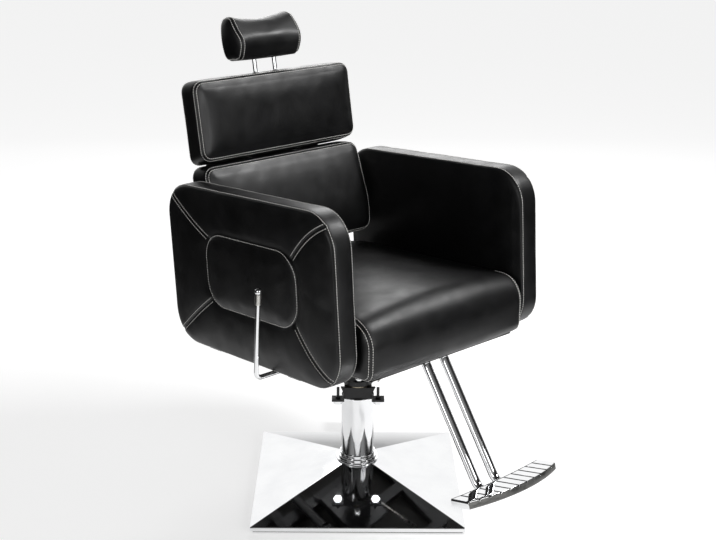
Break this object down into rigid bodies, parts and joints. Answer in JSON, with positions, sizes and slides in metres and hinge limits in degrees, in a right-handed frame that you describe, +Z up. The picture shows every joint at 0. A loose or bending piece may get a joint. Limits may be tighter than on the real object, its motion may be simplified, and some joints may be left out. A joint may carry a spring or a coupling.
{
  "type": "barber chair",
  "caption": "Salon chair with padded box arms, a reclining split back with a sliding headrest, a lever, a footrest and a square pedestal foot on a lifting column.",
  "frame": {"origin": "centre of the foot's underside on the floor, on the swivel axis", "axes": "+Z up along the column, -Y the way the sitter faces, +X to the sitter's left"},
  "size_m": [0.6499, 0.869, 1.0217],
  "materials": {
    "mirror_chrome": "polished",
    "satin_steel": "satin",
    "black_steel": "gloss",
    "grey_iron": "cast",
    "black_rubber": "matte",
    "bearing_brass": "machined",
    "guide_plastic": "moulded",
    "plywood": "raw",
    "black_leather": "semi-gloss"
  },
  "bodies": {
    "foot": {"base_cover": "mirror_chrome", "base_weight": "grey_iron", "base_rubber": "black_rubber", "base_collar": "mirror_chrome", "pump_body": "grey_iron", "pump_gland": "bearing_brass", "base_bolts": "satin_steel", "pedal_pin": "satin_steel"},
    "pedal": {"pedal_arm": "satin_steel", "pedal_pad": "black_rubber"},
    "column": {"ram": "mirror_chrome", "column_sleeve": "mirror_chrome", "sleeve_guide": "guide_plastic", "ram_head": "black_steel", "head_bars": "black_steel", "head_bolts": "satin_steel", "thrust_washer": "bearing_brass"},
    "seat": {"swivel_spindle": "black_steel", "pedestal": "black_steel", "cap_nut": "mirror_chrome", "stay_rod": "satin_steel", "saddle": "black_steel", "rail_left": "black_steel", "rail_right": "black_steel", "frame_tubes": "black_steel", "arm_brackets": "black_steel", "seat_board": "plywood", "seat_cushion": "black_leather", "seat_screws": "satin_steel", "arm_board_left": "plywood", "arm_board_right": "plywood", "arm_pad_left": "black_leather", "arm_pad_right": "black_leather", "arm_panel_left": "black_leather", "arm_panel_right": "black_leather", "hinge_plates": "black_steel", "hinge_pins": "satin_steel", "footrest_flange": "mirror_chrome", "footrest_tubes": "mirror_chrome", "footplate": "mirror_chrome", "plate_clamp": "mirror_chrome", "strut_bracket": "black_steel", "strut_pin": "satin_steel"},
    "lever": {"lever_rod": "mirror_chrome", "lever_sleeve": "satin_steel", "lever_ball": "mirror_chrome"},
    "strut": {"strut_cylinder": "black_steel"},
    "piston": {"strut_rod": "satin_steel"},
    "back": {"back_frame": "black_steel", "crank_pin": "satin_steel", "lower_board": "plywood", "lower_pad": "black_leather", "upper_board": "plywood", "upper_pad": "black_leather", "back_screws": "satin_steel", "headrest_guides": "black_steel"},
    "headrest": {"headrest_posts": "mirror_chrome", "headrest_core": "plywood", "headrest_cushion": "black_leather"}
  },
  "joints": [
    {"name": "pedal_press", "type": "hinge", "parent": "foot", "child": "pedal", "pos_m": [0.04076, 0.04672, 0.04], "axis": [-0.7536, 0.6574, 0], "range_deg": [0, 12], "stiffness_Nm_per_rad": 6, "springref_deg": -20.05},
    {"name": "lift", "type": "slide", "parent": "foot", "child": "column", "axis": [0, 0, 1], "range_m": [0, 0.12]},
    {"name": "swivel", "type": "hinge", "parent": "column", "child": "seat", "pos_m": [0, 0, 0.25], "axis": [0, 0, 1], "continuous": true},
    {"name": "recline", "type": "hinge", "parent": "seat", "child": "back", "pos_m": [0, 0.26373, 0.38509], "axis": [-1, 0, 0], "range_deg": [0, 45]},
    {"name": "strut_swing", "type": "hinge", "parent": "seat", "child": "strut", "pos_m": [-0.09, 0, 0.312], "axis": [1, 0, 0], "range_deg": [-0.5, 1.5]},
    {"name": "strut_slide", "type": "slide", "parent": "strut", "child": "piston", "axis": [0, 0.9986, 0.0535], "range_m": [-0.05, 0.002]},
    {"name": "lever_pull", "type": "hinge", "parent": "seat", "child": "lever", "pos_m": [-0.32, -0.052, 0.366], "axis": [1, 0, 0], "range_deg": [0, 25], "stiffness_Nm_per_rad": 4, "springref_deg": -20.05},
    {"name": "headrest_slide", "type": "slide", "parent": "back", "child": "headrest", "axis": [0, 0.1736, 0.9848], "range_m": [-0.025, 0.05]}
  ],
  "couplings": [
    {"joint": "strut_swing", "follows": "recline", "ratio": 0.0127},
    {"joint": "strut_slide", "follows": "recline", "m_per_rad": -0.058184}
  ]
}
